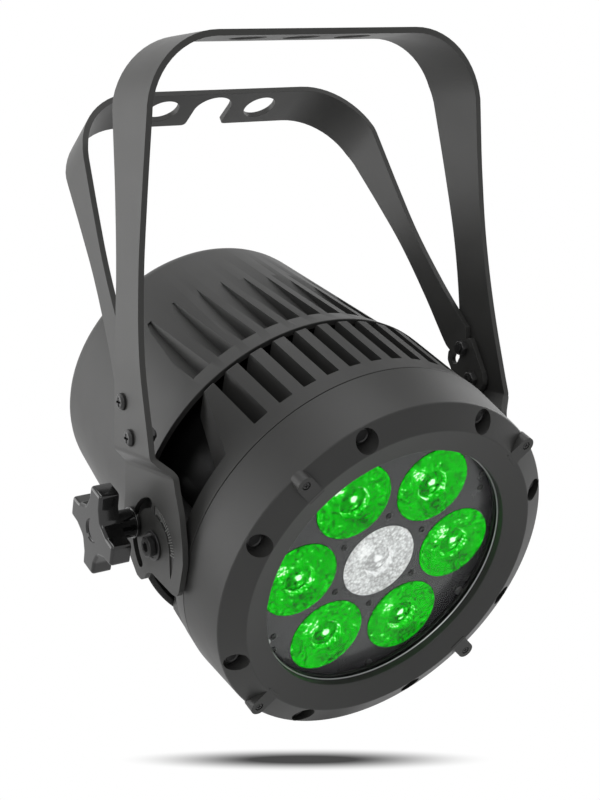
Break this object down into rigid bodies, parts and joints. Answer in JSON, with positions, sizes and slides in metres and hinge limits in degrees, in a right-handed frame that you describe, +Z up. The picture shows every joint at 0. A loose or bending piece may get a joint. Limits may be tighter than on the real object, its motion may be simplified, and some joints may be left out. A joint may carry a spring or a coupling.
{
  "type": "par can light",
  "caption": "Round stage wash light with coloured lenses behind a glass window, hung from a folding double yoke with tilt lock knobs.",
  "frame": {"origin": "hanging point: middle of the front yoke crossbar, on its top face", "axes": "+Z up, the light faces -Y, X runs along the tilt axis"},
  "size_m": [0.267, 0.2771, 0.3752],
  "materials": {
    "yoke_paint": "charcoal powder coat on bent steel strap",
    "shell_paint": "charcoal powder coat on cast alloy",
    "black_cast": "black anodised",
    "black_steel": "black oxide",
    "steel": "zinc plated",
    "alloy": "plain sheet",
    "gloss_black": "gloss moulded",
    "plastic": "matt moulded",
    "board": "white solder mask",
    "lens_green": "clear lens lit green",
    "lens_white": "clear lens lit white",
    "glass": "clear"
  },
  "bodies": {
    "front_yoke": {"front_yoke": "yoke_paint", "hinge_screw_left": "black_steel", "hinge_screw_right": "black_steel", "lock_screw_left": "black_steel", "lock_screw_right": "black_steel", "hinge_washer_left": "steel", "hinge_washer_right": "steel", "hinge_nut_left": "steel", "hinge_nut_right": "steel", "lock_nut_left": "steel", "lock_nut_right": "steel"},
    "head": {"front_bezel": "shell_paint", "front_housing": "shell_paint", "rear_cover": "shell_paint", "rear_panel": "shell_paint", "side_bracket_left": "black_cast", "pivot_bolt_left": "black_steel", "pivot_washer_left": "steel", "friction_disc_left": "plastic", "side_bracket_right": "black_cast", "pivot_bolt_right": "black_steel", "pivot_washer_right": "steel", "friction_disc_right": "plastic", "window_glass": "glass", "glass_ring": "steel", "heat_sink": "black_cast", "led_board": "board", "guide_rod_1": "steel", "guide_rod_2": "steel", "zoom_motor": "alloy", "fan_frame": "plastic", "power_supply": "alloy", "driver_board": "board", "display_window": "gloss_black", "power_in": "plastic", "power_out": "plastic", "data_in": "plastic", "data_out": "plastic", "fuse_holder": "plastic", "safety_eye": "steel"},
    "rear_yoke": {"rear_yoke": "yoke_paint"},
    "tilt_knob_left": {"tilt_knob_left": "gloss_black", "lock_stud_left": "steel"},
    "tilt_knob_right": {"tilt_knob_right": "gloss_black", "lock_stud_right": "steel"},
    "zoom_carriage": {"lens_carriage": "plastic", "lens_middle": "lens_white", "lens_1": "lens_green", "lens_2": "lens_green", "lens_3": "lens_green", "lens_4": "lens_green", "lens_5": "lens_green", "lens_6": "lens_green"},
    "lead_screw": {"lead_screw": "steel"},
    "fan_rotor": {"fan_rotor": "plastic"},
    "button_1": {"button_1": "plastic"},
    "button_2": {"button_2": "plastic"},
    "button_3": {"button_3": "plastic"},
    "button_4": {"button_4": "plastic"}
  },
  "joints": [
    {"name": "head_tilt", "type": "hinge", "parent": "front_yoke", "child": "head", "pos_m": [0, -0.0024, -0.2585], "axis": [1, 0, 0], "range_deg": [-57, 62]},
    {"name": "rear_yoke_fold", "type": "hinge", "parent": "front_yoke", "child": "rear_yoke", "pos_m": [0, -0.0009, -0.2003], "axis": [1, 0, 0], "range_deg": [0, 31.8]},
    {"name": "tilt_knob_left_turn", "type": "hinge", "parent": "head", "child": "tilt_knob_left", "pos_m": [0, 0.01846, -0.25007], "axis": [-1, 0, 0], "range_deg": [-360, 0]},
    {"name": "tilt_knob_right_turn", "type": "hinge", "parent": "head", "child": "tilt_knob_right", "pos_m": [0, 0.01846, -0.25007], "axis": [1, 0, 0], "range_deg": [-360, 0]},
    {"name": "zoom_slide", "type": "slide", "parent": "head", "child": "zoom_carriage", "axis": [0, -0.9245, -0.3811], "range_m": [-0.0215, 0]},
    {"name": "lead_screw_turn", "type": "hinge", "parent": "head", "child": "lead_screw", "pos_m": [0, -0.06462, -0.20411], "axis": [0, -0.9245, -0.3811], "range_deg": [-972, 5]},
    {"name": "fan_spin", "type": "hinge", "parent": "head", "child": "fan_rotor", "pos_m": [0, -0.0024, -0.2585], "axis": [0, -0.9245, -0.3811], "continuous": true},
    {"name": "button_1_press", "type": "slide", "parent": "head", "child": "button_1", "axis": [0, -0.9245, -0.3811], "range_m": [0, 0.0013], "stiffness_N_per_m": 400, "springref_m": -0.0008},
    {"name": "button_2_press", "type": "slide", "parent": "head", "child": "button_2", "axis": [0, -0.9245, -0.3811], "range_m": [0, 0.0013], "stiffness_N_per_m": 400, "springref_m": -0.0008},
    {"name": "button_3_press", "type": "slide", "parent": "head", "child": "button_3", "axis": [0, -0.9245, -0.3811], "range_m": [0, 0.0013], "stiffness_N_per_m": 400, "springref_m": -0.0008},
    {"name": "button_4_press", "type": "slide", "parent": "head", "child": "button_4", "axis": [0, -0.9245, -0.3811], "range_m": [0, 0.0013], "stiffness_N_per_m": 400, "springref_m": -0.0008}
  ],
  "couplings": [
    {"joint": "lead_screw_turn", "follows": "zoom_slide", "rad_per_m": 785.4}
  ]
}
